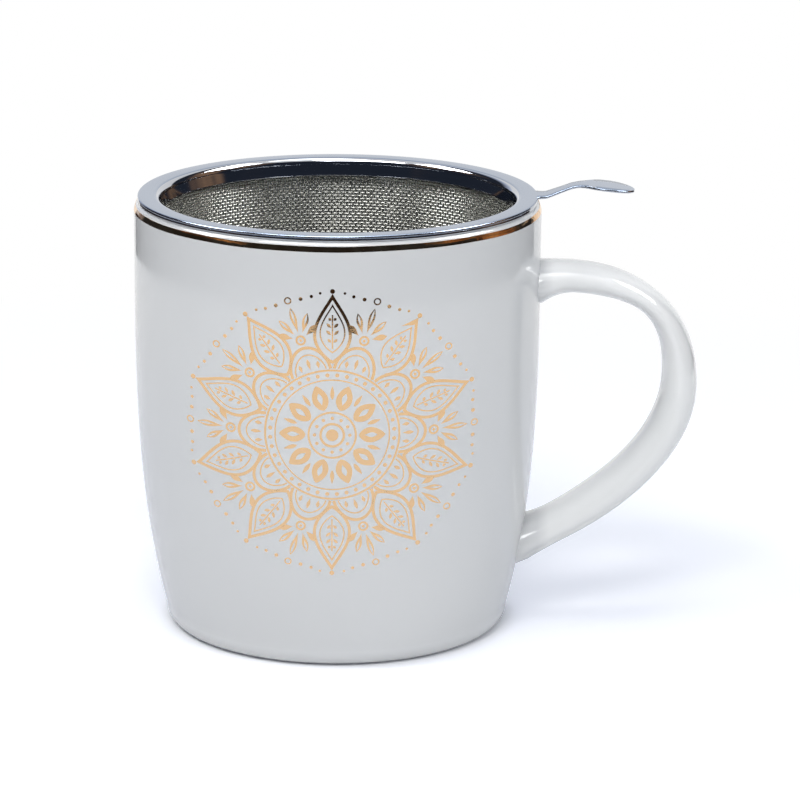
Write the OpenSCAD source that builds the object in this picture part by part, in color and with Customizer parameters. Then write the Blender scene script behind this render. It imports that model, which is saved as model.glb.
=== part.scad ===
// Porcelain tea mug with a lift-out strainer basket. Millimetres.
// The mug stands on z = 0 about the z axis and its handle points along +x.

/* [Mug] */
// Height of the mug from the table to the top of its lip
mug_h = 91.2; // [84:0.1:110]
// Outer radius of the mug below the lip
rim_r = 42.6; // [41.5:0.1:46]
// Thickness of the mug's wall
wall_t = 4; // [3.4:0.1:4.4]
// How far the outside draws in between the belly and the foot
belly_in = 7.2; // [3:0.1:9]
// Height over the table at which the outside becomes straight
belly_h = 78; // [55:1:80]
// Sharpness of the belly's curve
belly_p = 3.1; // [2:0.1:4]
// Height of the inside floor over the table
floor_h = 6.5; // [5:0.1:10]
// Radius of the corner between the inside floor and the wall
floor_fillet = 9; // [3:0.5:12]
// Height of the rounded part of the lip on its outside
lip_drop = 2.8; // [1.5:0.1:4]
// How far the foot ring stays inside the lower end of the belly
foot_in = 2; // [1.2:0.1:5]
// Width of the foot ring on the table
foot_w = 2.6; // [1.5:0.1:5]
// Depth of the recess inside the foot ring
foot_recess = 1.4; // [0.5:0.1:2.5]

/* [Rim line] */
// Width of the lustre line round the lip
line_w = 0.85; // [0.4:0.05:1.2]
// Distance of the line's upper edge below the top of the lip
line_drop = 1.2; // [0.9:0.05:1.4]
// Thickness of the lustre on the lip
line_t = 0.12; // [0.08:0.01:0.3]

/* [Handle] */
// Distance of the strap's upper root below the top of the lip
strap_top_drop = 16.5; // [12:0.1:22]
// Height over the table of the strap's lower root
strap_low_z = 16.6; // [14:0.1:26]
// Distance of the strap's centre line from the mug's side at its widest
strap_out = 29.8; // [22:0.1:38]
// Height of the strap's widest point, as a share of the way from the lower to the upper root
strap_wide_share = 0.618; // [0.48:0.002:0.7]
// Rise of the strap where it leaves the upper root, in degrees
strap_top_rise = 3.3; // [0:0.1:12]
// Fall of the strap where it meets the lower root, in degrees
strap_low_fall = 22.2; // [10:0.1:35]
// Width of the strap across the handle
strap_w = 14; // [11:0.1:18]
// Thickness of the strap in its upper part
strap_t_top = 6.5; // [5:0.1:9]
// Thickness of the strap in its lower part
strap_t_low = 8.1; // [5:0.1:10]
// Amount by which the strap thins at its shoulder
strap_thin = 1.3; // [0:0.1:1.5]
// Fillet under the upper root where the strap meets the mug
strap_fillet = 2.5; // [0:0.1:3]
// Amount by which each side of the strap flares out at the mug
strap_flare = 1.3; // [0:0.1:2]

/* [Infuser rim] */
// How far the rim plate's edge stays inside the mug's outer radius
plate_in = 0.8; // [0.4:0.1:1.6]
// Clearance all round between the collar and the mug's mouth
collar_gap = 0.5; // [0.3:0.1:1.2]
// Thickness of the rim sheets
sheet_t = 0.5; // [0.4:0.05:0.6]
// Length of the drawn collar below the top of the plate
collar_l = 4.5; // [3:0.1:6]
// Radius of the bend between the plate and the collar
collar_bend = 1; // [0.7:0.1:1.2]
// How far the backing ring stays behind the plate's edge
backing_in = 0.4; // [0.2:0.1:1]

/* [Thumb tab] */
// Length of the thumb tab from the edge of the plate
tab_l = 20.2; // [15:0.1:26]
// Distance of the tab's crest from the edge of the plate
tab_crest_l = 7.8; // [6:0.1:10]
// Height of the tab's crest over the rim plate
tab_crest_h = 2.3; // [1:0.1:5]
// Fall of the paddle from its crest to its tip
tab_fall = 1.2; // [0:0.1:3]
// Width of the tab's neck at the plate
tab_neck_w = 5.8; // [5:0.1:8]
// Width of the tab at its crest
tab_crest_w = 4.7; // [4:0.1:6]
// Width of the tab's paddle
tab_paddle_w = 10; // [8:0.1:13]

/* [Basket] */
// Thickness of the woven wall
mesh_t = 0.5; // [0.4:0.05:0.6]
// Height of the basket's underside over the table
basket_low_z = 29; // [22:0.5:45]
// How much narrower the basket is at its lower end than at its collar
basket_taper = 3.1; // [2.5:0.1:6]
// Number of openings round the wall
wall_holes = 64; // [48:4:72]
// Number of rows of openings in the wall
wall_rows = 14; // [10:1:16]
// How far the woven wall bulges between its ends
wall_bulge = 0.5; // [0.2:0.1:1]
// Share of the pitch that is open
open_share = 0.7; // [0.5:0.01:0.75]
// Pitch of the openings in the floor
floor_pitch = 3.1; // [2.8:0.1:4]
// Thickness of the sheet of the backing ring's sleeve
clamp_t = 0.4; // [0.3:0.05:0.6]
// Thickness of the crimped band at the basket's foot
band_t = 0.4; // [0.3:0.05:0.6]
// Height of the crimped band at the basket's foot
band_h = 3; // [2:0.1:5]

/* [Show] */
// Sub-part to build

/* [Hidden] */
$fn = 96;

porcelain = [0.95, 0.95, 0.93];
lustre = [0.80, 0.58, 0.36];
steel = [0.78, 0.79, 0.82];
mesh_steel = [0.62, 0.63, 0.64];

// ---- mug outline ----
mouth_r = rim_r - wall_t;
crest_r = rim_r - wall_t / 2;
lip_z = mug_h - lip_drop;
lip_in = 1.8;
corner = 1.2;
line_hi = asin((mug_h - line_drop - lip_z) / lip_drop);
line_lo = asin((mug_h - line_drop - line_w - lip_z) / lip_drop);

function out_r(z) = rim_r - belly_in * pow(max(0, 1 - z / belly_h), belly_p);
function lip_pt(a, grow) = [crest_r + (rim_r - crest_r + grow) * cos(a),
                            lip_z + (lip_drop + grow) * sin(a)];

foot_r = out_r(0) - foot_in;
corner_z = foot_recess * 0.5 + corner;
corner_r = out_r(corner_z) - corner;

// outside from the foot ring to the start of the lip
outside = concat(
    [[foot_r, 0], [foot_r + 0.3, 0.3], [foot_r + 0.3, foot_recess * 0.5]],
    [for (k = [1 : 5]) [corner_r + corner * sin(18 * k), corner_z - corner * cos(18 * k)]],
    [for (k = [1 : 30]) let (z = corner_z + (belly_h - corner_z) * k / 30) [out_r(z), z]],
    [[rim_r, lip_z]]);

// lip from the outside over the crest to the mouth
lip = concat(
    [for (k = [1 : 3]) lip_pt(line_lo * k / 3, 0)],
    [for (k = [1 : 3]) lip_pt(line_lo + (line_hi - line_lo) * k / 3, 0)],
    [for (k = [1 : 6]) lip_pt(line_hi + (90 - line_hi) * k / 6, 0)],
    [for (k = [1 : 8]) [crest_r - (crest_r - mouth_r) * sin(11.25 * k),
                        mug_h - lip_in + lip_in * cos(11.25 * k)]]);

fillet_z = floor_h + floor_fillet;
fillet_r = out_r(fillet_z) - wall_t - floor_fillet;

// inside from the straight mouth down to the middle of the floor
inside = concat(
    [for (k = [24 : -1 : 1]) let (z = fillet_z + (belly_h - fillet_z) * k / 24)
        [out_r(z) - wall_t, z]],
    [for (k = [0 : 9]) [fillet_r + floor_fillet * cos(10 * k),
                        fillet_z - floor_fillet * sin(10 * k)]],
    [[0, floor_h]]);

underside = [[0, foot_recess], [foot_r - foot_w - 0.8, foot_recess],
             [foot_r - foot_w - 0.3, foot_recess * 0.7], [foot_r - foot_w, 0]];

// ---- handle centre line: two curves that meet at the widest point ----
strap_top_z = mug_h - strap_top_drop;
strap_wide_z = strap_low_z + (strap_top_z - strap_low_z) * strap_wide_share;
root_top = [out_r(strap_top_z) - 2.1, strap_top_z];
root_low = [out_r(strap_low_z) - 1.2, strap_low_z];
wide = [rim_r + strap_out, strap_wide_z];
top_a = root_top + 20.3 * [cos(strap_top_rise), sin(strap_top_rise)];
top_b = wide + [0, 17.3];
low_a = wide - [0, 17.3];
low_b = root_low + 15.1 * [cos(strap_low_fall), sin(strap_low_fall)];

function bez(p, t) = pow(1 - t, 3) * p[0] + 3 * pow(1 - t, 2) * t * p[1]
                     + 3 * (1 - t) * t * t * p[2] + t * t * t * p[3];
function strap_c(u) = u < 1 ? bez([root_top, top_a, top_b, wide], u)
                            : bez([wide, low_a, low_b, root_low], u - 1);
function unit(v) = v / norm(v);
function strap_n(u) = let (d = unit(strap_c(min(2, u + 0.01)) - strap_c(max(0, u - 0.01))))
                      [-d[1], d[0]];
function ease(x) = let (t = min(1, max(0, x))) t * t * (3 - 2 * t);
function strap_b(u) = (strap_t_top + (strap_t_low - strap_t_top) * ease((u - 0.72) / 0.5)
                      - strap_thin * exp(-pow((u - 0.55) / 0.22, 2))
                      - 0.5 * ease((u - 1.6) / 0.3)) / 2;

// share of the root's fillet and flare reached at u, 1 at the wall
root_l = 8;
function root_share(u) = let (c = strap_c(u), d = c[0] - out_r(c[1]))
                         pow(max(0, 1 - max(d, 0) / root_l), 2.2);

strap_n_path = 72;
strap_n_ring = 32;

// ---- infuser: sheets nested from the mouth inwards ----
plate_r = rim_r - plate_in;
clamp_r = mouth_r - collar_gap - clamp_t;
mesh_top_r = clamp_r - mesh_t;
collar_out = mesh_top_r;
collar_r = collar_out - sheet_t;
basket_low_r = collar_r - basket_taper;
tab_reach = plate_r + tab_l;
tab_crest_x = plate_r + tab_crest_l;
tab_start = plate_r - 2.5;
tab_bend_x = plate_r + 1.7;
plate_top = mug_h + 2 * sheet_t;
plate_low = mug_h + sheet_t;
collar_low = plate_top - collar_l;
mesh_run = collar_low - basket_low_z - band_t;
mesh_lean = (mesh_top_r - basket_low_r) / mesh_run;
wall_low = basket_low_z + band_t;
function mesh_r(z) = mesh_top_r - mesh_lean * (collar_low - z)
                     + wall_bulge * sin(180 * (collar_low - z) / mesh_run);
row_low = wall_low + band_h;
hole_step = (collar_low - 0.6 - row_low) / wall_rows;
hole_h = hole_step * open_share;

module mug_body() {
    color(porcelain)
    rotate_extrude()
    polygon(concat(outside, lip, inside, underside));
}

// everything inside the mug's outer surface, used to trim the handle
module mug_outer_solid() {
    rotate_extrude()
    polygon(concat(outside, [[0, lip_z], [0, 0]]));
}

// one closed ring of the strap, its fillet growing on the inner side only
function strap_ring(u) = let (c = strap_c(u), n = strap_n(u), s = root_share(u),
                              f = s * strap_fillet * (u < 1 ? 1 : 0.2) / 2,
                              w = strap_w / 2 + s * strap_flare)
    [for (k = [0 : strap_n_ring - 1]) let (a = 360 * k / strap_n_ring,
        q = (strap_b(u) + f) * cos(a) - f)
        [c[0] + n[0] * q, w * sin(a), c[1] + n[1] * q]];

module strap_sweep() {
    rings = [for (i = [0 : strap_n_path]) strap_ring(2 * i / strap_n_path)];
    points = [for (r = rings) each r];
    m = strap_n_ring;
    sides = [for (i = [0 : strap_n_path - 1]) for (k = [0 : m - 1])
        let (a = i * m + k, b = i * m + (k + 1) % m)
        each [[a, b, b + m], [a, b + m, a + m]]];
    first = [for (k = [m - 1 : -1 : 0]) k];
    last = [for (k = [0 : m - 1]) strap_n_path * m + k];
    polyhedron(points, concat(sides, [first, last]));
}

module mug_handle() {
    color(porcelain)
    difference() {
        strap_sweep();
        mug_outer_solid();
    }
}

module rim_line() {
    angles = [for (k = [0 : 3]) line_lo + (line_hi - line_lo) * k / 3];
    color(lustre)
    rotate_extrude()
    polygon(concat([for (a = angles) lip_pt(a, 0)],
                   [for (k = [3 : -1 : 0]) lip_pt(angles[k], line_t)]));
}

// bent sheet seen from the side, before the paddle's outline is cut
module tab_side() {
    xc = tab_crest_x;
    top = concat(
        [[tab_start, plate_top], [tab_bend_x - 0.5, plate_top], [tab_bend_x + 0.5, plate_top + 0.18]],
        [for (k = [0 : 8]) let (t = k / 8, x = xc - 0.9 + 2.6 * t)
            [x, plate_top + tab_crest_h - 0.35 * pow(1 - t, 2)]],
        [for (k = [1 : 8]) let (t = k / 8, x = xc + 1.7 + (tab_reach - xc - 1.7) * t)
            [x, plate_top + tab_crest_h - tab_fall * pow(t, 1.7)]]);
    low = [for (k = [len(top) - 1 : -1 : 0]) top[k] - [0, sheet_t]];
    polygon(concat(top, low));
}

// paddle outline seen from above
module tab_plan() {
    n = 32;
    function along(t) = tab_start + (tab_reach - tab_start) * t;
    function half(t) = let (x = along(t),
        flare = 3 * pow(max(0, 1 - (x - tab_start) / 4), 2),
        slim = (tab_neck_w - tab_crest_w) / 2 * ease((x - plate_r - 1) / 5),
        grow = (tab_paddle_w - tab_crest_w) / 2 * ease((x - tab_crest_x) / 6),
        tip = tab_paddle_w * 0.55,
        past = max(0, x - tab_reach + tip) / tip)
        (tab_neck_w / 2 - slim + grow) * sqrt(max(0, 1 - past * past)) + flare;
    // closer points towards the round tip
    ts = [for (k = [0 : n]) 1 - pow(1 - k / n, 1.6)];
    polygon(concat([for (t = ts) [along(t), -half(t)]],
                   [for (k = [n - 1 : -1 : 0]) [along(ts[k]), half(ts[k])]]));
}

module rim_plate() {
    flat_r = collar_r + collar_bend;
    bend_z = plate_top - collar_bend;
    inner_bend = collar_bend - sheet_t;
    color(steel)
    union() {
        rotate_extrude()
        polygon(concat(
            [[plate_r, plate_low], [plate_r, plate_top - 0.12], [plate_r - 0.12, plate_top]],
            [for (k = [0 : 6]) [flat_r - collar_bend * sin(15 * k),
                                bend_z + collar_bend * cos(15 * k)]],
            [[collar_r, collar_low], [collar_out, collar_low]],
            [for (k = [6 : -1 : 0]) [flat_r - inner_bend * sin(15 * k),
                                     bend_z + inner_bend * cos(15 * k)]]));
        intersection() {
            rotate([90, 0, 0])
            linear_extrude(height = 3 * tab_paddle_w, center = true)
            tab_side();
            translate([0, 0, plate_low - tab_fall - 1])
            linear_extrude(height = tab_crest_h + tab_fall + sheet_t + 2)
            tab_plan();
        }
    }
}

module backing_ring() {
    color(steel)
    rotate_extrude()
    polygon([[clamp_r, collar_low], [clamp_r + clamp_t, collar_low],
             [clamp_r + clamp_t, mug_h], [plate_r - backing_in, mug_h],
             [plate_r - backing_in, plate_low], [clamp_r, plate_low]]);
}

module basket_wall() {
    heights = concat([wall_low], [for (i = [0 : wall_rows]) row_low + hole_step * i]);
    inner = [for (z = heights) [mesh_r(z), z]];
    outer = [for (k = [len(inner) - 1 : -1 : 0]) inner[k] + [mesh_t, 0]];
    color(mesh_steel)
    difference() {
        rotate_extrude()
        polygon(concat(inner, [[mesh_top_r, collar_low], [mesh_top_r, plate_top - collar_bend],
                               [clamp_r, plate_top - collar_bend], [clamp_r, collar_low]], outer));
        for (i = [0 : wall_rows - 1])
        for (k = [1 : wall_holes - 1]) {
            z = row_low + hole_step * (i + 0.5);
            w = 2 * PI * mesh_r(z) / wall_holes * open_share;
            rotate([0, 0, 360 * k / wall_holes - 90])
            translate([mesh_r(z) + mesh_t / 2, 0, z])
            cube([3, w, hole_h], center = true);
        }
    }
}

module basket_floor() {
    reach = basket_low_r - 2.4;
    n = floor(reach / floor_pitch);
    s = floor_pitch * open_share;
    color(mesh_steel)
    translate([0, 0, wall_low])
    linear_extrude(height = mesh_t)
    difference() {
        circle(r = basket_low_r);
        for (i = [-n : n])
        for (j = [-n : n])
        if (norm([abs(i) + 0.5, abs(j) + 0.5]) * floor_pitch < reach)
        translate([i * floor_pitch, j * floor_pitch])
        square(s, center = true);
    }
}

module base_band() {
    r0 = basket_low_r + mesh_t;
    r1 = mesh_r(row_low) + mesh_t;
    color(steel)
    rotate_extrude()
    polygon([[basket_low_r - 2, basket_low_z], [r0 + band_t, basket_low_z],
             [r1 + band_t, row_low], [r1, row_low],
             [r0, wall_low], [basket_low_r - 2, wall_low]]);
}

mug_body();
mug_handle();
rim_line();
rim_plate();
backing_ring();
basket_wall();
basket_floor();
base_band();
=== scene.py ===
import math

import bmesh
import bpy
from mathutils import Matrix, Vector


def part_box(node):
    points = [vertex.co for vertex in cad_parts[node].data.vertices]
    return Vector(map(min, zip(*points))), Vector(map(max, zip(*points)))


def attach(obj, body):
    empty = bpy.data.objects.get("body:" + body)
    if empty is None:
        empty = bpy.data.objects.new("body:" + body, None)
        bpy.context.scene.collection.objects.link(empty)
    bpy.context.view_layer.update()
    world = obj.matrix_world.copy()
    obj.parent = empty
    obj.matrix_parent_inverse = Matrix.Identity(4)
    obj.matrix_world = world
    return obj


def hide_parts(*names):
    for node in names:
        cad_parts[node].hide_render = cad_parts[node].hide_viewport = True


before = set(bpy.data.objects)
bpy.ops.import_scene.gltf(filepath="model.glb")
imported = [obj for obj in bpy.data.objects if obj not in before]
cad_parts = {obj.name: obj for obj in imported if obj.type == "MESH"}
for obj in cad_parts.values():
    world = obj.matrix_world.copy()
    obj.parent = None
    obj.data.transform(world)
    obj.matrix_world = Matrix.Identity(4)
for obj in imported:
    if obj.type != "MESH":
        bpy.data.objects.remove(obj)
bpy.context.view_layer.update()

mm = 0.001
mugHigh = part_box("mug_body")[1]
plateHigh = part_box("rim_plate")[1]
ringLow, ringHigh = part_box("backing_ring")
bandLow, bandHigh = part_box("base_band")
rimRadius = mugHigh.x
mugTop = mugHigh.z


# small helpers

def arc(cx, cz, rx, rz, start, end, steps):
    turns = [math.radians(start + (end - start) * k / steps) for k in range(steps + 1)]
    return [(cx + rx * math.cos(a), cz + rz * math.sin(a)) for a in turns]


def ease(x):
    t = min(1, max(0, x))
    return t * t * (3 - 2 * t)


def makePiece(bm, name, body, materials, crease=38, stands=()):
    bmesh.ops.remove_doubles(bm, verts=bm.verts, dist=1e-7)
    bmesh.ops.recalc_face_normals(bm, faces=bm.faces)
    for face in bm.faces:
        face.smooth = True
    for edge in bm.edges:
        edge.smooth = len(edge.link_faces) != 2 or edge.calc_face_angle(0) < math.radians(crease)
    mesh = bpy.data.meshes.new(name)
    bm.to_mesh(mesh)
    bm.free()
    for material in materials:
        mesh.materials.append(material)
    piece = bpy.data.objects.new(name, mesh)
    bpy.context.scene.collection.objects.link(piece)
    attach(piece, body)
    if stands:
        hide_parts(*stands)
    print("made", name, len(mesh.polygons), "faces")
    return piece


def growTube(bm, segments, steps, place):
    around = bm.verts.layers.int.get("around") or bm.verts.layers.int.new("around")
    ring = bmesh.ops.create_circle(bm, segments=segments, radius=1)["verts"]
    for k, vert in enumerate(ring):
        vert[around] = k
    edges = list(bm.edges)
    for step in range(steps + 1):
        if step:
            grown = bmesh.ops.extrude_edge_only(bm, edges=edges)["geom"]
            ring = [g for g in grown if isinstance(g, bmesh.types.BMVert)]
            fresh = set(ring)
            edges = [g for g in grown if isinstance(g, bmesh.types.BMEdge) and set(g.verts) <= fresh]
        for vert in ring:
            vert.co = place(step, vert[around])
    bmesh.ops.holes_fill(bm, edges=[edge for edge in bm.edges if edge.is_boundary], sides=0)


def addMesh(bm, part):  # moves the part's mesh into the larger one
    mesh = bpy.data.meshes.new("part")
    part.to_mesh(mesh)
    part.free()
    bm.from_mesh(mesh)
    bpy.data.meshes.remove(mesh)


def spinOutline(outline, steps):
    bm = bmesh.new()
    verts = [bm.verts.new((r, 0, z)) for r, z in outline]
    edges = [bm.edges.new(pair) for pair in zip(verts, verts[1:] + verts[:1])]
    bmesh.ops.spin(bm, geom=verts + edges, axis=(0, 0, 1), cent=(0, 0, 0),
                   angle=2 * math.pi, steps=steps, use_merge=True)
    bmesh.ops.remove_doubles(bm, verts=bm.verts, dist=1e-7)
    return bm


# shader maths

class Flow:
    def __init__(self, shader, socket):
        self.shader = shader
        self.socket = socket

    def maths(self, operation, *values):
        return self.shader.node("ShaderNodeMath", {"operation": operation}, dict(enumerate(values)))

    def __add__(self, other):
        return self.maths("ADD", self, other)

    def __rsub__(self, other):
        return self.maths("SUBTRACT", other, self)

    def __mul__(self, other):
        return self.maths("MULTIPLY", self, other)

    def __truediv__(self, other):
        return self.maths("DIVIDE", self, other)

    __radd__ = __add__
    __rmul__ = __mul__


class Shader:
    def __init__(self, tree):
        self.tree = tree

    def node(self, kind, settings=None, inputs=None, out=0):
        made = self.tree.nodes.new(kind)
        for key, value in (settings or {}).items():
            if key == "stops":
                while len(made.color_ramp.elements) < len(value):
                    made.color_ramp.elements.new(1)
                for stop, (place, shade) in zip(made.color_ramp.elements, value):
                    stop.position = place
                    stop.color = (shade, shade, shade, 1)
            else:
                setattr(made, key, value)
        for key, value in (inputs or {}).items():
            self.feed(made.inputs[key], value)
        return Flow(self, made.outputs[out])

    def feed(self, socket, value):
        if isinstance(value, Flow):
            self.tree.links.new(value.socket, socket)
        else:
            socket.default_value = value

    def blend(self, factor, low, high):
        return self.node("ShaderNodeMix", {"data_type": "RGBA"}, {0: factor, 6: low, 7: high}, 2)

    def noise(self, place, scale, detail=2, rough=0.5):
        return self.node("ShaderNodeTexNoise", None,
                         {"Vector": place, "Scale": scale, "Detail": detail, "Roughness": rough})

    def stretch(self, place, scale):
        return self.node("ShaderNodeMapping", None, {"Vector": place, "Scale": scale})

    def ramp(self, value, *stops):
        return self.node("ShaderNodeValToRGB", {"stops": stops}, {"Fac": value})

    def bump(self, height, depth, strength=1.0):
        return self.node("ShaderNodeBump", None,
                         {"Height": height, "Distance": depth, "Strength": strength})


def newMaterial(name, recipe):
    material = bpy.data.materials.new(name)
    material.use_nodes = True
    shader = Shader(material.node_tree)
    place = shader.node("ShaderNodeTexCoord", out="Object")
    surface = material.node_tree.nodes["Principled BSDF"]
    for socket, value in recipe(shader, place).items():
        shader.feed(surface.inputs[socket], value)
    return material


# finishes

def glazeRecipe(s, place):
    wave = s.noise(place, 55, 1)  # slow swell of the fired glaze
    fine = s.noise(place, 900, 2)
    # painted shade: one glaze in two tones, the body painted greyer than the strap, only to balance this
    # light
    strapSide = s.ramp(s.node("ShaderNodeSeparateXYZ", None, {"Vector": place}) * 10, (0.425, 0), (0.45, 1))
    body = s.blend(s.noise(place, 30, 2), (0.762, 0.768, 0.775, 1), (0.786, 0.792, 0.799, 1))
    tint = s.blend(strapSide, body, (0.94, 0.943, 0.938, 1))
    return {
        "Base Color": tint,
        "Roughness": 0.05 + fine * 0.04,
        "IOR": 1.52,
        "Normal": s.bump(wave, 0.00012, 0.35),
    }


def bisqueRecipe(s, place):
    grain = s.noise(place, 2600, 3, 0.7)
    return {
        "Base Color": s.blend(grain, (0.66, 0.64, 0.60, 1), (0.76, 0.74, 0.70, 1)),
        "Roughness": 0.75 + grain * 0.2,
        "Normal": s.bump(grain, 0.00006),
    }


def lustreRecipe(s, place):
    cloud = s.noise(place, 260, 3)
    grain = s.noise(place, 3200, 2)
    return {
        "Base Color": s.blend(cloud, (0.74, 0.485, 0.26, 1), (0.81, 0.55, 0.31, 1)),
        "Metallic": 1,
        "Roughness": 0.02 + cloud * 0.06,
        "Normal": s.bump(grain, 0.00001, 0.3),
    }


def rimGoldRecipe(s, place):
    patch = s.noise(place, 210, 3, 0.6)
    grain = s.noise(place, 420, 3)
    return {
        "Base Color": s.blend(s.ramp(patch, (0.38, 0), (0.62, 1)),
                              (0.62, 0.33, 0.14, 1), (0.90, 0.60, 0.30, 1)),
        "Metallic": 1,
        "Roughness": 0.04 + patch * 0.08,
        "Normal": s.bump(grain, 0.00016, 0.5),
    }


def satinSteelRecipe(s, place):  # painted shade: darker and bluer than bare steel, set to suit this light
    rub = s.noise(s.stretch(place, (260, 260, 40)), 6, 3, 0.6)
    cloud = s.noise(place, 45, 2)
    return {
        "Base Color": s.blend(cloud, (0.243, 0.293, 0.386, 1), (0.298, 0.35, 0.444, 1)),
        "Metallic": 1,
        "Roughness": 0.12 + rub * 0.09,
        "Normal": s.bump(rub, 0.000004, 0.6),
    }


def mirrorSteelRecipe(s, place):  # painted shade: darker than bare steel, set to suit this light
    drawn = s.noise(s.stretch(place, (60, 60, 1500)), 4, 2)  # draw marks run round the collar
    return {
        "Base Color": s.blend(drawn, (0.44, 0.46, 0.50, 1), (0.52, 0.54, 0.58, 1)),
        "Metallic": 1,
        "Roughness": 0.04 + drawn * 0.05,
        "Normal": s.bump(drawn, 0.000004, 0.6),
    }


def wireSteelRecipe(s, place):
    stain = s.noise(place, 160, 3)
    grain = s.noise(place, 3500, 2)
    return {
        "Base Color": s.blend(stain, (0.60, 0.60, 0.565, 1), (0.72, 0.72, 0.68, 1)),
        "Metallic": 1,
        "Roughness": 0.19 + grain * 0.08,
        "Normal": s.bump(grain, 0.000005, 0.5),
    }


def pressedClothRecipe(s, place):  # the weave shows as low bumps at the wires' pitch
    x, z = (s.node("ShaderNodeSeparateXYZ", None, {"Vector": place}, axis) for axis in (0, 2))
    across, up = x * (math.pi / (0.66 * mm)), z * (math.pi / (0.69 * mm))
    weave = across.maths("SINE", across) * up.maths("SINE", up)
    rub = s.noise(place, 900, 2)
    return {
        "Base Color": s.blend(rub, (0.50, 0.50, 0.475, 1), (0.64, 0.64, 0.61, 1)),
        "Metallic": 1,
        "Roughness": 0.22 + rub * 0.14,
        "Normal": s.bump(weave, 0.00008, 0.8),
    }


glaze = newMaterial("glaze", glazeRecipe)
bisque = newMaterial("bisque", bisqueRecipe)
lustre = newMaterial("printLustre", lustreRecipe)
rimGold = newMaterial("rimLustre", rimGoldRecipe)
satinSteel = newMaterial("satinSteel", satinSteelRecipe)
mirrorSteel = newMaterial("mirrorSteel", mirrorSteelRecipe)
wireSteel = newMaterial("wireSteel", wireSteelRecipe)
pressedCloth = newMaterial("pressedCloth", pressedClothRecipe)
print("finishes ready")


# mug

mug = {
    "bellyIn": 7.2 * mm, "bellyHeight": 78 * mm, "bellyPower": 3.1,
    "wall": 4 * mm, "floor": 6.5 * mm, "floorFillet": 9 * mm,
    "lipDrop": 2.8 * mm, "lipIn": 1.8 * mm, "underLip": 2 * mm,
    "footRadius": 33.4 * mm, "footWidth": 2.6 * mm, "footRound": 0.25 * mm, "bare": 0.3 * mm,
    "recess": 1.4 * mm, "recessFillet": 0.6 * mm,
    "cornerIn": 2.4 * mm, "cornerUp": 3.4 * mm, "gap": 0.36 * mm,
    "steps": 256,
}


def outsideRadius(z):
    return rimRadius - mug["bellyIn"] * max(0, 1 - z / mug["bellyHeight"]) ** mug["bellyPower"]


def mugOutline():
    foot, wide, recess, hollow = (mug[key] for key in ("footRadius", "footWidth", "recess", "recessFillet"))
    cornerZ = mug["gap"] + mug["cornerUp"]
    cornerR = outsideRadius(cornerZ) - mug["cornerIn"]
    crest = rimRadius - mug["wall"] / 2
    lipZ = mugTop - mug["lipDrop"]
    filletZ = mug["floor"] + mug["floorFillet"]
    filletR = outsideRadius(filletZ) - mug["wall"] - mug["floorFillet"]
    sides = [cornerZ + (lipZ - cornerZ) * k / 60 for k in range(1, 60)]
    wallTop = mugTop - mug["lipIn"] - mug["underLip"]
    walls = [wallTop + (filletZ - wallTop) * k / 44 for k in range(44)]
    return (
        [(foot - wide + mug["footRound"], 0), (foot - mug["footRound"], 0)]
        + [(foot, 0.1 * mm), (foot + 0.05 * mm, mug["gap"])]
        + arc(cornerR, cornerZ, mug["cornerIn"], mug["cornerUp"], -90, 0, 16)
        + [(outsideRadius(z), z) for z in sides]
        + arc(crest, lipZ, rimRadius - crest, mug["lipDrop"], 0, 90, 20)
        + arc(crest, mugTop - mug["lipIn"], crest - rimRadius + mug["wall"], mug["lipIn"], 90, 180, 14)[1:]
        + [(outsideRadius(z) - mug["wall"], z) for z in walls]
        + arc(filletR, filletZ, mug["floorFillet"], mug["floorFillet"], 0, -90, 16)
        + [(filletR * 0.5, mug["floor"]), (0, mug["floor"]), (0, recess), (filletR * 0.5, recess)]
        + [(foot - wide - 1.4 * mm, recess)]
        + arc(foot - wide - 1.0 * mm, recess - hollow, hollow, hollow, 90, 20, 5)
        + [(foot - wide, 0.2 * mm)]
    )


def makeMugBody():
    bm = spinOutline(mugOutline(), mug["steps"])
    for face in bm.faces:
        middle = face.calc_center_median()
        if middle.z < mug["bare"]:  # the foot ring is ground bare of glaze
            face.material_index = 1
    return makePiece(bm, "mugShell", "mug", [glaze, bisque], 50, ["mug_body"])


makeMugBody()


# handle

strap = {
    "topZ": mugTop - 16.5 * mm, "lowZ": 16.6 * mm, "out": 29.8 * mm, "wideShare": 0.618,
    "topInside": 2.1 * mm, "lowInside": 1.2 * mm,
    "rise": 3.3, "fall": 22.2, "arms": (20.3 * mm, 17.3 * mm, 17.3 * mm, 15.1 * mm),
    "width": 14 * mm, "thickTop": 6.5 * mm, "thickLow": 8.1 * mm, "thin": 1.3 * mm, "lowThin": 0.5 * mm,
    # along the strap, 0 at the upper root, 1 at the widest place, 2 at the lower root
    "thickenAt": 0.72, "thickenOver": 0.5, "thinAt": 0.55, "thinOver": 0.22,
    "lowThinAt": 1.6, "lowThinOver": 0.3,
    "fillet": 2.5 * mm, "lowFilletShare": 0.45, "underFillet": 0.7 * mm, "sunk": 3.4 * mm,
    "flare": 1.3 * mm, "rootLength": 8 * mm, "rootPower": 2.2,
    "rings": 150, "around": 56,
}


def strapEnds():
    rootTop = Vector((outsideRadius(strap["topZ"]) - strap["topInside"], strap["topZ"]))
    rootLow = Vector((outsideRadius(strap["lowZ"]) - strap["lowInside"], strap["lowZ"]))
    wideZ = strap["lowZ"] + (strap["topZ"] - strap["lowZ"]) * strap["wideShare"]
    return rootTop, Vector((rimRadius + strap["out"], wideZ)), rootLow


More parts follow.
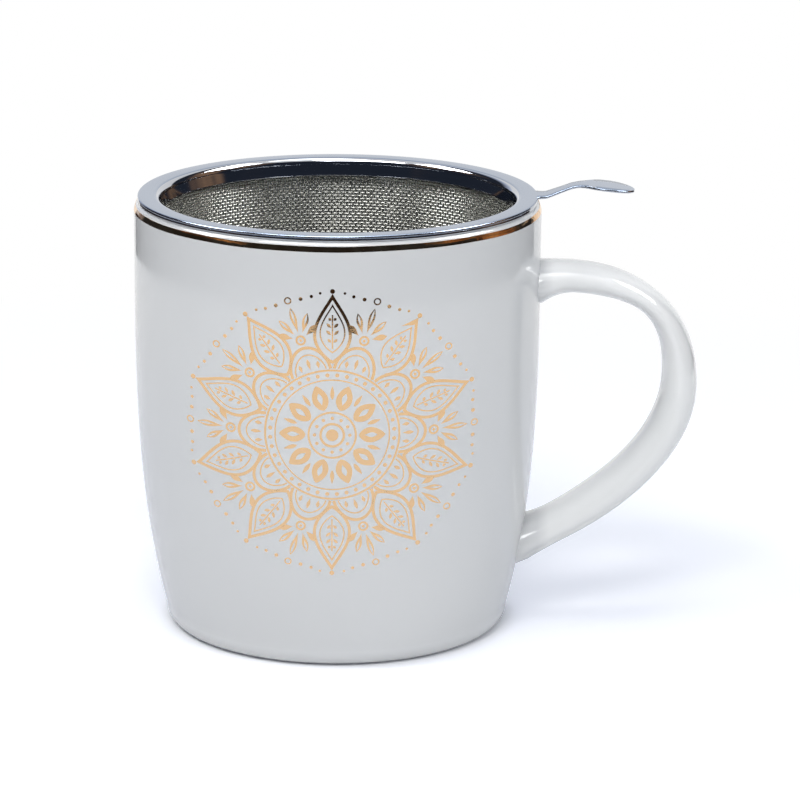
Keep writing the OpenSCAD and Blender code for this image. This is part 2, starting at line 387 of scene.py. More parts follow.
def strapCentre(u):
    rootTop, wide, rootLow = strapEnds()
    rise, fall = math.radians(strap["rise"]), math.radians(strap["fall"])
    a, b, c, d = strap["arms"]
    upper = [rootTop, rootTop + a * Vector((math.cos(rise), math.sin(rise))), wide + Vector((0, b)), wide]
    lower = [wide, wide - Vector((0, c)), rootLow + d * Vector((math.cos(fall), math.sin(fall))), rootLow]
    p, t = (upper, u) if u < 1 else (lower, u - 1)
    return (1 - t) ** 3 * p[0] + 3 * (1 - t) ** 2 * t * p[1] + 3 * (1 - t) * t * t * p[2] + t ** 3 * p[3]


def strapSection(u, turn):
    centre = strapCentre(u)
    along = (strapCentre(min(2, u + 0.01)) - strapCentre(max(0, u - 0.01))).normalized()
    out = Vector((-along.y, along.x))
    clear = max(0, centre.x - outsideRadius(centre.y))
    root = max(0, 1 - clear / strap["rootLength"]) ** strap["rootPower"]
    thicken = ease((u - strap["thickenAt"]) / strap["thickenOver"])
    half = (strap["thickTop"] + (strap["thickLow"] - strap["thickTop"]) * thicken
            - strap["thin"] * math.exp(-((u - strap["thinAt"]) / strap["thinOver"]) ** 2)
            - strap["lowThin"] * ease((u - strap["lowThinAt"]) / strap["lowThinOver"])) / 2
    inner = root * strap["fillet"] * (1 if u < 1 else strap["lowFilletShare"]) / 2
    outer = root * strap["underFillet"] * (0 if u < 1 else 1) / 2
    side = strap["width"] / 2 + root * strap["flare"]
    reach = (half + inner + outer) * math.cos(turn) - inner + outer
    centre = centre + along * (strap["sunk"] if u == 2 else 0)
    return (centre.x + out.x * reach, side * math.sin(turn), centre.y + out.y * reach)


def makeHandle():
    bm = bmesh.new()
    rings, segments = strap["rings"], strap["around"]
    growTube(bm, segments, rings,
             lambda step, k: strapSection(2 * step / rings, 2 * math.pi * k / segments))
    return makePiece(bm, "handleStrap", "mug", [glaze], 60, ["mug_handle"])


makeHandle()


# gold line on the lip

rimLine = {
    "width": 1.05 * mm, "drop": 1.02 * mm, "proud": 0.05 * mm, "wander": (0.05, 0.03), "steps": 360,
}


def makeRimLine():
    crest = rimRadius - mug["wall"] / 2
    lipZ = mugTop - mug["lipDrop"]
    high = math.degrees(math.asin((mugTop - rimLine["drop"] - lipZ) / mug["lipDrop"]))
    low = math.degrees(math.asin((mugTop - rimLine["drop"] - rimLine["width"] - lipZ) / mug["lipDrop"]))
    rx, rz, proud = rimRadius - crest, mug["lipDrop"], rimLine["proud"]
    outline = arc(crest, lipZ, rx + proud, rz + proud, low, high, 6)
    outline += arc(crest, lipZ, rx - proud, rz - proud, high, low, 6)
    bm = spinOutline(outline, rimLine["steps"])
    slow, quick = rimLine["wander"]
    for vert in bm.verts:  # laid on by brush, so its edges wander a little
        turn = math.atan2(vert.co.y, vert.co.x)
        vert.co.z += (slow * math.sin(5 * turn + 1) + quick * math.sin(13 * turn)) * mm
    return makePiece(bm, "rimLine", "mug", [rimGold], 50, ["rim_line"])


makeRimLine()


# gold print on the front

# a rosette of ten leaves and ten fans, drawn flat in millimetres from its centre
printed = {
    "centreX": -1.0 * mm, "centreZ": 51.5 * mm, "folds": 10,
    "depth": 0.03 * mm, "sink": 0.02 * mm, "longest": 1.1,
    "bold": 0.62, "line": 0.42, "fine": 0.28,
}


def turned(points, degrees):
    c, s = math.cos(math.radians(degrees)), math.sin(math.radians(degrees))
    return [(x * c - y * s, x * s + y * c) for x, y in points]


def shifted(points, dx, dy=0):
    return [(x + dx, y + dy) for x, y in points]


def disc(radius, steps=20):
    return [(radius * math.cos(2 * math.pi * k / steps), radius * math.sin(2 * math.pi * k / steps))
            for k in range(steps)]


def leaf(start, end, half, belly=1.0, sharp=1.0, steps=22):
    upper = []
    for k in range(1, steps):
        t = k / steps
        upper.append((start + (end - start) * t, half * math.sin(math.pi * t ** belly) ** sharp))
    return [(start, 0)] + [(x, -y) for x, y in upper] + [(end, 0)] + upper[::-1]


def offset(points, by, closed=True):
    moved = []
    count = len(points)
    for k, point in enumerate(points):
        before = points[k - 1] if closed or k else point
        after = points[(k + 1) % count] if closed or k < count - 1 else point
        a = Vector(point) - Vector(before)
        b = Vector(after) - Vector(point)
        a = a.normalized() if a.length else b.normalized()
        b = b.normalized() if b.length else a
        normal = Vector((a.y + b.y, -a.x - b.x))
        normal = normal.normalized() if normal.length > 1e-6 else Vector((a.y, -a.x))
        reach = min(2.2, 1 / max(0.2, normal.dot(Vector((a.y, -a.x)))))
        moved.append((point[0] + normal.x * by * reach, point[1] + normal.y * by * reach))
    return moved


def outlined(points, width):  # a closed line: its outer and inner edge
    return [offset(points, width / 2), offset(points, -width / 2)]


def stroke(points, width):  # an open line with a rounded look at its ends
    return [offset(points, width / 2, False) + offset(points, -width / 2, False)[::-1]]


def around(shape, turn=0, folds=None):
    folds = folds or printed["folds"]
    return [[turned(loop, turn + 360 * k / folds) for loop in shape] for k in range(folds)]


def heart():
    shapes = [[disc(1.25, 24)], outlined(disc(2.35, 40), 0.5), outlined(disc(4.75, 60), printed["line"])]
    shapes += around([shifted(disc(0.36, 12), 3.55)], 0, 12)
    return shapes


def sunPetals():
    petal = leaf(5.35, 10.7, 1.62, 0.86, 0.75)
    drop = leaf(6.5, 9.1, 0.5, 1.2)[::-1]
    shapes = around([petal, drop])
    shapes += around([leaf(7.4, 10.3, 0.42, 0.8)], 18)
    return shapes


def beadedBand():
    shapes = [outlined(disc(11.5, 90), printed["fine"]), outlined(disc(13.5, 100), printed["line"])]
    shapes += around([shifted(disc(0.42, 12), 12.5)], 4.5, 40)
    return shapes


def scallops():
    def arch(low, rise, reach):
        return [turned([(low + rise * math.cos(math.radians(90 * a / reach)) ** 0.7, 0)], a)[0]
                for a in [reach * (k / 12 - 1) for k in range(25)]]
    shapes = around(stroke(arch(13.9, 4.9, 16.6), printed["bold"]))
    shapes += around(stroke(arch(13.9, 3.4, 13.0), printed["fine"]))
    for lean, end in ((-7, 15.7), (0, 16.5), (7, 15.7)):
        shapes += around([leaf(14.1, end, 0.36, 1.3)], lean)
    return shapes


def bigLeaves():
    body = leaf(15.2, 28.6, 3.55, 0.78, 1.05, 34)
    inner = leaf(17.2, 26.8, 2.45, 0.78, 1.05, 30)
    shapes = around(outlined(body, printed["bold"]), 18)
    shapes += around(outlined(inner, printed["fine"]), 18)
    shapes += around(stroke([(17.9, 0), (20.0, 0), (22.5, 0), (24.9, 0)], printed["fine"]), 18)
    for k, (x, length) in enumerate(((19.0, 1.35), (20.5, 1.75), (22.0, 1.65), (23.5, 1.1))):
        for side in (-1, 1):
            vein = shifted(turned(leaf(0.32, length, 0.3, 1.1), 46 * side), x)
            shapes += around([vein], 18)
    return shapes


def fans():
    shapes = around(outlined(shifted(disc(0.85, 16), 20.5), printed["line"]))
    shapes += around([shifted(disc(0.3, 10), 20.5)])
    for lean, length in ((-62, 3.1), (-31, 4.3), (0, 5.4), (31, 4.3), (62, 3.1)):
        ray = shifted(turned(leaf(1.55, 1.55 + length, 0.62, 1.35), lean), 20.5)
        hole = shifted(turned(leaf(2.3 + length * 0.2, 1.2 + length, 0.22, 1.3), lean), 20.5)[::-1]
        shapes += around([ray, hole] if abs(lean) < 40 else [ray])
    return shapes


def pearls():
    shapes = around([shifted(disc(0.5, 14), 29.7)], 18)
    shapes += around(outlined(shifted(disc(0.62, 16), 28.9), printed["fine"]))
    for lean, radius, size in ((5.2, 28.7, 0.4), (9.6, 28.9, 0.34), (13.2, 29.4, 0.28)):
        for side in (-1, 1):
            shapes += around([shifted(disc(size, 12), radius)], lean * side)
    return shapes


def wrapPrint(vert):
    lift = vert.co.z * printed["depth"] - printed["sink"]
    x = printed["centreX"] + vert.co.x * mm
    z = printed["centreZ"] + vert.co.y * mm
    radius = outsideRadius(z) + lift
    vert.co = (x, -math.sqrt(radius * radius - x * x), z)


def makePrint():
    shapes = heart() + sunPetals() + beadedBand() + scallops() + bigLeaves() + fans() + pearls()
    whole = bmesh.new()
    for shape in shapes:
        bm = bmesh.new()
        for loop in shape:
            verts = [bm.verts.new((x, y, 0)) for x, y in loop]
            for pair in zip(verts, verts[1:] + verts[:1]):
                bm.edges.new(pair)
        bmesh.ops.triangle_fill(bm, edges=bm.edges, use_beauty=True, normal=(0, 0, 1))
        for _ in range(3):
            long = [edge for edge in bm.edges if edge.calc_length() > printed["longest"]]
            if long:
                bmesh.ops.subdivide_edges(bm, edges=long, cuts=1)
                bmesh.ops.triangulate(bm, faces=bm.faces)
        base = list(bm.faces)
        top = bmesh.ops.extrude_face_region(bm, geom=base, use_keep_orig=True)["geom"]
        bmesh.ops.translate(bm, vec=(0, 0, 1), verts=[g for g in top if isinstance(g, bmesh.types.BMVert)])
        for vert in bm.verts:
            wrapPrint(vert)
        bmesh.ops.recalc_face_normals(bm, faces=bm.faces)
        addMesh(whole, bm)
    return makePiece(whole, "frontPrint", "mug", [lustre], 40)


makePrint()


# rim plate with its collar and thumb tab

plate = {
    "radius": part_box("rim_plate")[1].y, "top": mugTop + 1.0 * mm, "low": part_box("rim_plate")[0].z,
    "collarTop": 37.0 * mm, "collarLow": 36.3 * mm, "sheet": 0.5 * mm, "bend": 1.5 * mm,
    "overRound": 0.38 * mm, "underRound": 0.09 * mm, "endRound": 0.15 * mm, "clear": 0.65 * mm,
    "polishShare": 0.6, "polishTilt": 0.55, "steps": 480,
}
tab = {
    "reach": plateHigh.x, "bendX": 2.2 * mm, "first": 0.18 * mm, "soft": 0.16 * mm, "tuck": 0.02 * mm,
    "crestX": 49.6 * mm, "crestIn": 0.9 * mm, "crestOut": 1.7 * mm, "crest": 2.3 * mm, "arch": 0.35 * mm,
    "fall": 1.2 * mm, "fallPower": 1.7,
    "neck": 5.8 * mm, "waist": 4.7 * mm, "waistFrom": 1 * mm, "waistOver": 5 * mm,
    "paddle": 10 * mm, "paddleOver": 6 * mm, "tipShare": 0.55,
    "overlap": 2.5 * mm, "rootFlare": 3 * mm, "flareLength": 4 * mm,
    "rounding": 0.13 * mm, "bed": 0.004 * mm, "rings": 70,
}


def plateOutline():
    out, top, sheet, bend = (plate[key] for key in ("radius", "top", "sheet", "bend"))
    curl, under, end = plate["overRound"], plate["underRound"], plate["endRound"]
    high, low, foot = plate["collarTop"], plate["collarLow"], plate["low"] + plate["clear"]
    flat = high + bend
    draft = [(high + (low - high) * t, top - bend + (foot + end - top + bend) * t)
             for t in (0.04, 0.3, 0.6, 0.9, 0.97)]
    return (
        arc(out - under, top - sheet + under, under, under, -90, 0, 4)
        + arc(out - curl, top - curl, curl, curl, 0, 90, 9)
        + [((out + flat) / 2, top)]
        + arc(flat, top - bend, bend, bend, 90, 180, 14)
        + draft
        + arc(low + sheet / 2, foot + end, sheet / 2, end, 180, 360, 6)[1:]
        + [(r + sheet, z) for r, z in draft[::-1]]
        + arc(flat, top - bend, bend - sheet, bend - sheet, 180, 90, 8)
        + [((out + flat) / 2, top - sheet)]
    )


def tabHeight(x):
    start = plate["radius"] + tab["bendX"]
    crest0, crest1 = tab["crestX"] - tab["crestIn"], tab["crestX"] + tab["crestOut"]
    if x < crest0:
        slope = (tab["crest"] - tab["arch"] - tab["first"]) / (crest0 - start)
        climb = tab["first"] + slope * (x - start)
        return 0.5 * (climb + math.sqrt(climb * climb + tab["soft"] ** 2)) - tab["tuck"] * (x < start)
    if x < crest1:
        t = (x - crest0) / (crest1 - crest0)
        return tab["crest"] - tab["arch"] * (1 - t) ** 2
    return tab["crest"] - tab["fall"] * ((x - crest1) / (tab["reach"] - crest1)) ** tab["fallPower"]


def tabHalf(x):
    start = plate["radius"] - tab["overlap"]
    flare = tab["rootFlare"] * max(0, 1 - (x - start) / tab["flareLength"]) ** 2
    waistX = plate["radius"] + tab["waistFrom"]
    slim = (tab["neck"] - tab["waist"]) / 2 * ease((x - waistX) / tab["waistOver"])
    grow = (tab["paddle"] - tab["waist"]) / 2 * ease((x - tab["crestX"]) / tab["paddleOver"])
    tip = tab["paddle"] * tab["tipShare"]
    past = max(0, x - tab["reach"] + tip) / tip
    return (tab["neck"] / 2 - slim + grow) * math.sqrt(max(0, 1 - past * past)) + flare


# the tab's section as side, inset and level: square with slightly rounded corners
tabSection = (
    [(-1, 0, -0.37), (-1, 0, -0.13)] + [(side, abs(side) // 1, 0) for side in (-1, -0.5, 0, 0.5, 1)]
    + [(1, 0, -0.13), (1, 0, -0.37)] + [(side, abs(side) // 1, -0.5) for side in (1, 0.5, 0, -0.5, -1)]
)


def growTab(bm):
    start = plate["radius"] - tab["overlap"]

    def place(ring, k):
        side, inset, level = tabSection[k]
        t = 1 - (1 - ring / tab["rings"]) ** 1.6
        x = start + (tab["reach"] - start) * t
        half = max(tabHalf(x), 0.2 * mm)
        return (x, side * (half - inset * tab["rounding"]),
                plate["top"] + level * mm + tabHeight(x) - tab["bed"])

    growTube(bm, len(tabSection), tab["rings"], place)


def makeRimPlate():
    bm = spinOutline(plateOutline(), plate["steps"])
    blank = bmesh.new()
    growTab(blank)
    addMesh(bm, blank)
    bmesh.ops.recalc_face_normals(bm, faces=bm.faces)
    for face in bm.faces:
        middle = face.calc_center_median()
        collar = middle.xy.length < plate["collarTop"] + plate["bend"] * plate["polishShare"]
        if (collar and middle.z < plate["top"]) or abs(face.normal.z) < plate["polishTilt"]:
            face.material_index = 1  # the collar and the edges are polished, the flat faces are satin
    return makePiece(bm, "rimPlate", "infuser", [satinSteel, mirrorSteel], 50, ["rim_plate"])


makeRimPlate()


# backing ring under the plate

backing = {
    "sheet": 0.5 * mm, "sleeve": 0.4 * mm, "sleeveRadius": 37.7 * mm, "edge": 0.1 * mm, "over": 0.26 * mm,
    "turn": 0.14 * mm, "turnFrom": 0.45 * mm, "turnTo": 0.28 * mm, "flush": 0.27 * mm, "bed": 0.02 * mm,
    "fillet": 0.35 * mm, "bend": 0.5 * mm, "steps": 360,
}


def makeBackingRing():
    top, low, out = ringHigh.z - backing["bed"], ringLow.z, ringHigh.y + backing["flush"]
    inner, wall, edge, over = (backing[key] for key in ("sleeveRadius", "sleeve", "edge", "over"))
    fillet, bend, turn = backing["fillet"], backing["bend"], backing["turn"]
    under = top - backing["sheet"]
    outline = (
        [(inner, low + edge), (inner + edge, low), (inner + wall - edge, low)]
        + [(inner + wall, low + edge), (inner + wall, under - fillet)]
        + arc(inner + wall + fillet, under - fillet, fillet, fillet, 180, 90, 5)[1:]
        + [(out - backing["turnFrom"], under), (out - backing["turnTo"], under - turn * 0.8)]
        + arc(out - edge, under - turn + edge, edge, edge, -100, 0, 5)
        + arc(out - over, top - over, over, over, 0, 90, 6)
        + [(inner + bend, top)]
        + arc(inner + bend, top - bend, bend, bend, 90, 180, 5)[1:]
    )
    bm = spinOutline(outline, backing["steps"])
    return makePiece(bm, "backingRing", "infuser", [mirrorSteel], 50, ["backing_ring"])


makeBackingRing()


# woven basket

cloth = {
    "thick": 0.5 * mm, "wire": 0.16 * mm, "sway": 0.15 * mm, "count": 352, "rows": 90,
    "lowRadius": 33.6 * mm, "topRadius": 37.2 * mm, "bulge": 0.5 * mm,
    "low": bandLow.z + 0.4 * mm, "high": ringLow.z, "firstRow": 0.3 * mm, "tuck": 1.2 * mm,
    "floorPitch": 0.7 * mm, "floorIn": 0.2 * mm,
}


def clothRadius(z):
    share = (cloth["high"] - z) / (cloth["high"] - cloth["low"])
    return (cloth["topRadius"] - (cloth["topRadius"] - cloth["lowRadius"]) * share
            + cloth["bulge"] * math.sin(math.pi * min(1, max(0, share))) + cloth["thick"] / 2)


def rowHeight(row):
    tall = cloth["high"] + cloth["tuck"] - cloth["low"]
    return cloth["low"] + cloth["firstRow"] + tall * row / (cloth["rows"] - 1)


def swayWires(bm, parity):  # moves each crossing in or out of the cloth
    step = rowHeight(1) - rowHeight(0)
    for vert in bm.verts:
        column = round(math.atan2(vert.co.y, vert.co.x) / (2 * math.pi) * cloth["count"])
        row = round((vert.co.z - rowHeight(0)) / step)
        way = 1 if (column + row + parity) % 2 else -1
        grow = 1 + way * cloth["sway"] / vert.co.xy.length
        vert.co.x *= grow
        vert.co.y *= grow


def makeHoops(name, first, last, stands):
    bm = bmesh.new()
    for row in range(first, last):
        z = rowHeight(row)
        place = Matrix.Translation((clothRadius(z), 0, z)) @ Matrix.Rotation(math.pi / 2, 4, "X")
        bmesh.ops.create_circle(bm, segments=4, radius=cloth["wire"], matrix=place)
    bmesh.ops.spin(bm, geom=bm.verts[:] + bm.edges[:], axis=(0, 0, 1), cent=(0, 0, 0),
                   angle=2 * math.pi, steps=cloth["count"], use_merge=True)
    bmesh.ops.remove_doubles(bm, verts=bm.verts, dist=1e-6)
    swayWires(bm, 0)
    return makePiece(bm, name, "infuser", [wireSteel], 180, stands)


def wireCorner(k):
    return cloth["wire"] * math.cos(math.pi / 2 * k), cloth["wire"] * math.sin(math.pi / 2 * k)


def makeUprights(name, first):  # half of the uprights, each in one piece from the base to the collar
    bm = bmesh.new()
    share = cloth["count"] // 2

    def place(step, k):
        across, side = wireCorner(k)
        z = rowHeight(step)
        return (clothRadius(z) + across, side, z)

    growTube(bm, 4, cloth["rows"] - 1, place)
    bmesh.ops.rotate(bm, cent=(0, 0, 0), verts=bm.verts,
                     matrix=Matrix.Rotation(2 * math.pi * first / cloth["count"], 3, "Z"))
    bmesh.ops.spin(bm, geom=bm.verts[:] + bm.edges[:] + bm.faces[:], axis=(0, 0, 1), cent=(0, 0, 0),
                   angle=2 * math.pi * (share - 1) / cloth["count"], steps=share - 1, use_duplicate=True)
    swayWires(bm, 1)
    return makePiece(bm, name, "infuser", [wireSteel], 180)


def makeFloorWeave():
    bm = bmesh.new()
    pitch, middle = cloth["floorPitch"], cloth["low"] + cloth["thick"] / 2
    reach = cloth["lowRadius"] - cloth["floorIn"]
    count = int(reach / pitch)
    for way in (0, 1):
        quarter = Matrix.Rotation(math.pi / 2 * way, 3, "Z")
        for line in range(-count, count + 1):
            half = int(math.sqrt(reach * reach - (line * pitch) ** 2) / pitch)

            def place(step, k):
                up, side = wireCorner(k)
                sway = cloth["sway"] * (1 if (step - half + line + way) % 2 else -1)
                flat = quarter @ Vector(((step - half) * pitch, line * pitch + side, 0))
                return flat + Vector((0, 0, middle + up + sway))

            wire = bmesh.new()
            growTube(wire, 4, max(1, 2 * half), place)
            addMesh(bm, wire)
    return makePiece(bm, "basketFloorWeave", "infuser", [wireSteel], 180, ["basket_floor"])


seam = {
    "half": 2.2 * mm, "thick": 0.74 * mm, "edgeDrop": 0.12 * mm, "edgeShare": 0.14,
    "weldPitch": 5.2 * mm, "weldWide": 0.75 * mm, "weldDeep": 0.16 * mm, "lowIn": 0.4 * mm, "tuckShare": 0.8,
}


def makeSeam():  # the cloth's two ends lie on each other there, pressed flat and spot-welded
    low, high = cloth["low"] + seam["lowIn"], cloth["high"] + cloth["tuck"] * seam["tuckShare"]
    bm = bmesh.new()
    bmesh.ops.create_grid(bm, x_segments=24, y_segments=300, size=0.5)
    top = bmesh.ops.extrude_face_region(bm, geom=bm.faces[:], use_keep_orig=True)["geom"]
    raised = {g for g in top if isinstance(g, bmesh.types.BMVert)}
    for vert in bm.verts:
        x, z = vert.co.x * 2 * seam["half"], low + (vert.co.y + 0.5) * (high - low)
        edge = max(0, abs(vert.co.x) * 2 - 1 + seam["edgeShare"]) / seam["edgeShare"]
        weld = ((z - low) / seam["weldPitch"] + 0.5) % 1 - 0.5
        dent = math.exp(-((weld * seam["weldPitch"]) ** 2 + x * x) / seam["weldWide"] ** 2)
        proud = seam["thick"] / 2 - seam["weldDeep"] * dent - seam["edgeDrop"] * edge * edge
        radius = clothRadius(z) + (proud if vert in raised else -proud)
        vert.co = (radius * math.sin(x / radius), -radius * math.cos(x / radius), z)
    return makePiece(bm, "seamStrip", "infuser", [pressedCloth], 60)


half = cloth["rows"] // 2
makeHoops("hoopsLow", 0, half, ["basket_wall"])
makeHoops("hoopsHigh", half, cloth["rows"], [])
makeUprights("uprightsBack", 0)
makeUprights("uprightsFront", cloth["count"] // 2)
makeFloorWeave()
makeSeam()


# crimped band at the basket's foot

band = {
    "sheet": 0.4 * mm, "lip": 2 * mm, "hem": 0.35 * mm, "chamfer": 0.1 * mm, "taper": 0.05 * mm, "steps": 240,
}


def makeBaseBand():
    low, high = bandLow.z, bandHigh.z
    out, sheet, hem, chamfer = bandHigh.y, band["sheet"], band["hem"], band["chamfer"]
    foot = cloth["lowRadius"] + cloth["thick"] + sheet
    inner = cloth["lowRadius"] - band["lip"]
    outline = (
        [(inner, low + chamfer), (inner + chamfer, low)]
        + arc(foot - hem, low + hem, hem, hem, -90, 0, 6)
        + [(out, high - chamfer), (out - chamfer, high), (out - sheet + band["taper"], high)]
        + [(foot - sheet, low + sheet + chamfer), (inner + chamfer, low + sheet)]
        + [(inner, low + sheet - chamfer)]
    )
    bm = spinOutline(outline, band["steps"])
    return makePiece(bm, "baseBand", "infuser", [satinSteel], 50, ["base_band"])


makeBaseBand()


# stage, light and camera

def stageObject(name, bm, material):
    mesh = bpy.data.meshes.new(name)
    bm.to_mesh(mesh)
    bm.free()
    mesh.materials.append(material)
    item = bpy.data.objects.new(name, mesh)
    bpy.context.scene.collection.objects.link(item)
    return item


def stageMaterial(name, recipe):
    material = bpy.data.materials.new(name)
    material.use_nodes = True
    tree = material.node_tree
    tree.nodes.clear()
    shader = Shader(tree)
    place = shader.node("ShaderNodeTexCoord", out="Object")
    out = tree.nodes.new("ShaderNodeOutputMaterial")
    tree.links.new(recipe(shader, place).socket, out.inputs["Surface"])
    return material


def rayKind(s, kind):
    return s.node("ShaderNodeLightPath", out=kind)


def pathSeen(s):  # 1 where the camera, or a mirror or glass on the object, looks at the surroundings
    seen = rayKind(s, "Is Camera Ray") + rayKind(s, "Is Glossy Ray") + rayKind(s, "Is Transmission Ray")
    return seen.maths("MINIMUM", seen, 1.0)


def grey(tone):
    return (tone, tone, tone, 1)


def tableRecipe(s, place):
    away = s.node("ShaderNodeVectorMath", {"operation": "LENGTH"}, {0: place}, "Value")
    # near the mug the table keeps the mug's shadow, further off it is plain white
    near = s.ramp(away, (table["shadeEnd"], 1), (table["whiteFrom"], 0))
    glowBeyondFoot = s.ramp(away, (table["footIn"], 0), (table["footOut"], 1))  # painted contact shadow: the table's glow stops under the foot
    tone = s.blend(rayKind(s, "Is Camera Ray"), grey(table["tone"]), grey(table["seenTone"]))
    lit = s.node("ShaderNodeBsdfDiffuse", None, {"Color": tone})
    # painted light: a blue-grey glow near the mug, seen by the camera and in mirrors, sets the colour of the
    # mug's shadow
    strength = pathSeen(s) * glowBeyondFoot
    fill = s.node("ShaderNodeEmission", None, {"Color": studio["shadeTint"], "Strength": strength})
    both = s.node("ShaderNodeAddShader", None, {0: lit, 1: fill})
    white = s.node("ShaderNodeEmission", None, {"Color": grey(1), "Strength": 1.0})
    plain = s.node("ShaderNodeMixShader", None, {0: pathSeen(s), 1: lit, 2: white})
    return s.node("ShaderNodeMixShader", None, {0: near, 1: plain, 2: both})


def roomRecipe(s, place):  # the dim room in front of the table, warm at its sides and open behind
    x, y, z = (s.node("ShaderNodeSeparateXYZ", None, {"Vector": place}, axis) / studio["roomRadius"]
               for axis in (0, 1, 2))
    blot = s.ramp(s.noise(s.stretch(place, (1, 1, 2.2)), 2.6, 2), (0.42, 0.1), (0.62, 1))
    high = s.ramp(z, (0.44, 0), (0.54, 1))
    sides = s.ramp(x.maths("ABSOLUTE", x), (0.78, 0), (0.95, 1))
    lowRight = s.ramp(y * 0.5 + 0.5, (0.44, 0), (0.5, 1), (0.7, 1), (0.76, 0)) * s.ramp(x, (0.3, 0), (0.5, 1))
    warm = blot * (sides * high + lowRight * (1 - high) * 0.8)
    colour = s.blend(warm, (0.022, 0.028, 0.042, 1), (0.46, 0.27, 0.155, 1))
    colour = s.blend(s.ramp(y, (0.74, 0), (0.91, 1)), colour, (0.75, 0.82, 1.0, 1))
    return s.node("ShaderNodeEmission", None, {"Color": colour, "Strength": 1.0})


def darkRecipe(s, place):
    edge = s.noise(place, 14, 2)
    colour = s.blend(edge, (0.02, 0.014, 0.012, 1), (0.05, 0.035, 0.03, 1))
    return s.node("ShaderNodeEmission", None, {"Color": colour, "Strength": 1.0})


table = {
    "size": 3, "tone": 0.84, "seenTone": 1.06,  # the camera sees it brighter than the light it throws back
    "footIn": 0.0345, "footOut": 0.037, "shadeEnd": 0.13, "whiteFrom": 0.30,
}
studio = {
    "shadeTint": (0.185, 0.20, 0.265, 1), "fill": (0.86, 0.92, 1.0, 1), "fillStrength": 0.30,
    "roomRadius": 1.3, "roomLeft": 155, "roomRight": 140, "roomTop": 1.9, "lift": 0.001,
    "apron": 0.358, "sagSize": (0.27, 0.05), "sagPlace": (0.04, -0.352), "sagEdge": -0.35,
    "sags": ((0.007, 60, 0), (0.004, 130, 1)),
    # softboxes that show only in glaze and metal: place, size and strength
    "glints": (((-0.77, 0.136, 0.93), (0.5, 0.5), 14.0), ((0.77, 0.136, 0.93), (0.5, 0.5), 14.0),
               ((-0.2, -0.42, 1.13), (0.85, 0.35), 11.0), ((0.05, -0.04, 1.2), (0.8, 0.4), 4.5)),
    # lamps, all turned towards the aim: place, size, power and colour
    "aim": (0, 0, 0.04),
    "lamps": {
        "topBox": ((0.05, -0.04, 1.2), (0.8, 0.4), 3.2, (1, 1, 1)),
        "keyBox": ((-0.13, -0.82, 0.96), (0.5, 0.4), 4.7, (1, 1, 1)),
        "leftBox": ((-0.59, -0.22, 0.90), (0.2, 0.2), 1.9, (1, 1, 1)),
        "rightBox": ((0.70, -0.60, 0.60), (0.4, 0.4), 1.5, (0.97, 0.985, 1)),
    },
}


def spinCard(name, line, material):
    bm = bmesh.new()
    ends = [bm.verts.new((0, -radius, z)) for radius, z in line]
    edge = bm.edges.new(ends)
    left, right = math.radians(studio["roomLeft"]), math.radians(studio["roomRight"])
    bmesh.ops.rotate(bm, cent=(0, 0, 0), matrix=Matrix.Rotation(-left, 3, "Z"), verts=bm.verts)
    bmesh.ops.spin(bm, geom=ends + [edge], axis=(0, 0, 1), cent=(0, 0, 0), angle=left + right, steps=60)
    return stageObject(name, bm, material)


def makeGlint(number, spot, size, strength):
    def recipe(s, place):
        return s.node("ShaderNodeEmission", None, {"Color": grey(1), "Strength": strength})

    facing = Vector(spot).to_track_quat("Z", "Y").to_matrix().to_4x4()
    bm = bmesh.new()
    bmesh.ops.create_grid(bm, x_segments=1, y_segments=1, size=0.5)
    bmesh.ops.scale(bm, vec=(*size, 1), verts=bm.verts)
    bmesh.ops.transform(bm, matrix=Matrix.Translation(spot) @ facing, verts=bm.verts)
    return stageObject("glint%d" % number, bm, stageMaterial("glintPaint%d" % number, recipe))


def makeStage():
    bm = bmesh.new()
    bmesh.ops.create_grid(bm, x_segments=2, y_segments=2, size=table["size"])
    stageObject("tableTop", bm, stageMaterial("paleTable", tableRecipe))

    # the room and the dark floor are there for reflections only and take no light from the object
    far, lift = studio["roomRadius"], studio["lift"]
    dim, dark = stageMaterial("dimRoomPaint", roomRecipe), stageMaterial("darkFloorPaint", darkRecipe)
    room = spinCard("dimRoom", [(far, lift), (far, studio["roomTop"])], dim)
    apron = spinCard("darkFloor", [(studio["apron"], lift), (far, lift)], dark)
    bm = bmesh.new()
    bmesh.ops.create_grid(bm, x_segments=24, y_segments=1, size=0.5)
    bmesh.ops.scale(bm, vec=(*studio["sagSize"], 1), verts=bm.verts)
    bmesh.ops.translate(bm, vec=(*studio["sagPlace"], lift), verts=bm.verts)
    for vert in bm.verts:  # its near edge sags, as cloth does
        if vert.co.y > studio["sagEdge"]:
            vert.co.y += sum(deep * math.sin(vert.co.x * pace + lag) for deep, pace, lag in studio["sags"])
    cards = [room, apron, stageObject("darkSag", bm, dark)]
    cards += [makeGlint(number, *glint) for number, glint in enumerate(studio["glints"])]
    for card in cards:
        card.visible_camera = card.visible_diffuse = card.visible_shadow = False


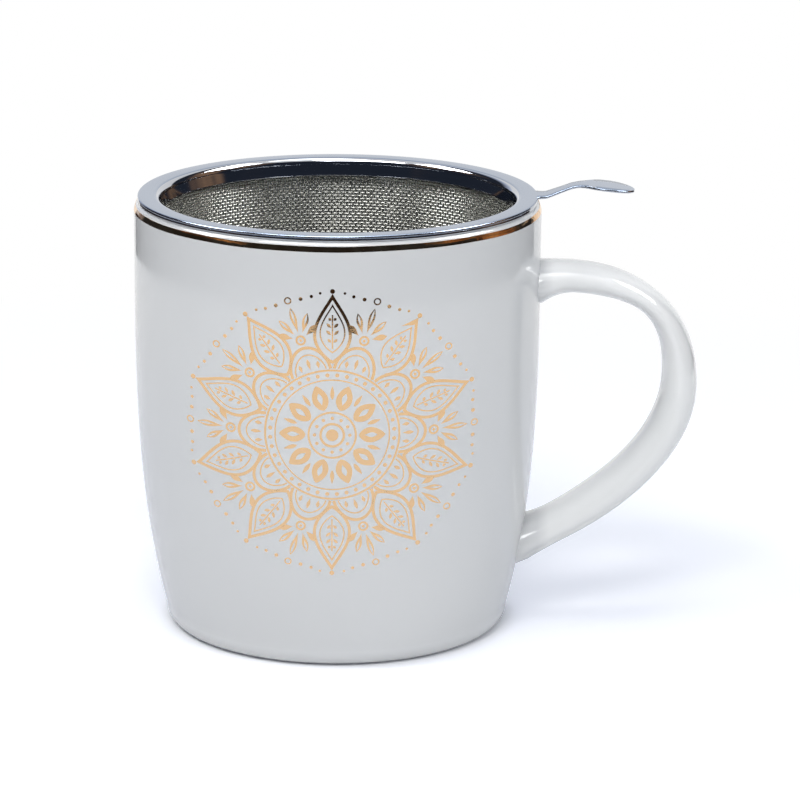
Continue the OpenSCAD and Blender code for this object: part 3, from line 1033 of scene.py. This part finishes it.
def addLamp(name, place, size, power, colour):
    light = bpy.data.lights.new(name, "AREA")
    light.shape = "RECTANGLE"
    light.size, light.size_y = size
    light.energy = power
    light.color = colour
    lamp = bpy.data.objects.new(name, light)
    bpy.context.scene.collection.objects.link(lamp)
    lamp.location = place
    lamp.rotation_euler = (Vector(studio["aim"]) - Vector(place)).to_track_quat("-Z", "Y").to_euler()
    lamp.visible_glossy = False  # the glints stand for the lamps in reflections


def makeWorld():
    world = bpy.data.worlds.new("studio")
    bpy.context.scene.world = world
    world.use_nodes = True
    tree = world.node_tree
    tree.nodes.clear()
    s = Shader(tree)
    room = s.node("ShaderNodeBackground", None, {"Color": studio["fill"], "Strength": studio["fillStrength"]})
    white = s.node("ShaderNodeBackground", None, {"Color": grey(1), "Strength": 1.0})
    mixed = s.node("ShaderNodeMixShader", None, {0: pathSeen(s), 1: room, 2: white})
    out = tree.nodes.new("ShaderNodeOutputWorld")
    tree.links.new(mixed.socket, out.inputs["Surface"])


def makeCamera():
    view = {"place": (0, -0.75093, 0.25011), "right": 1.0146, "down": 15.101, "roll": 0.443, "focal": 3668.1}
    yaw, pitch, roll = (math.radians(view[key]) for key in ("right", "down", "roll"))
    ahead = Vector((math.sin(yaw) * math.cos(pitch), math.cos(yaw) * math.cos(pitch), -math.sin(pitch)))
    right = Vector((math.cos(yaw), -math.sin(yaw), 0))
    up = right.cross(ahead)
    across = right * math.cos(roll) + up * math.sin(roll)
    upright = up * math.cos(roll) - right * math.sin(roll)
    data = bpy.data.cameras.new("camera")
    data.sensor_width = 36
    data.lens = view["focal"] * data.sensor_width / 800
    data.clip_start = 0.01
    camera = bpy.data.objects.new("camera", data)
    bpy.context.scene.collection.objects.link(camera)
    turn = Matrix((across, upright, -ahead)).transposed().to_4x4()
    camera.matrix_world = Matrix.Translation(view["place"]) @ turn
    bpy.context.scene.camera = camera


makeStage()
for name, lamp in studio["lamps"].items():
    addLamp(name, *lamp)
makeWorld()
makeCamera()
bpy.context.scene.view_settings.view_transform = "Standard"
print("stage ready")
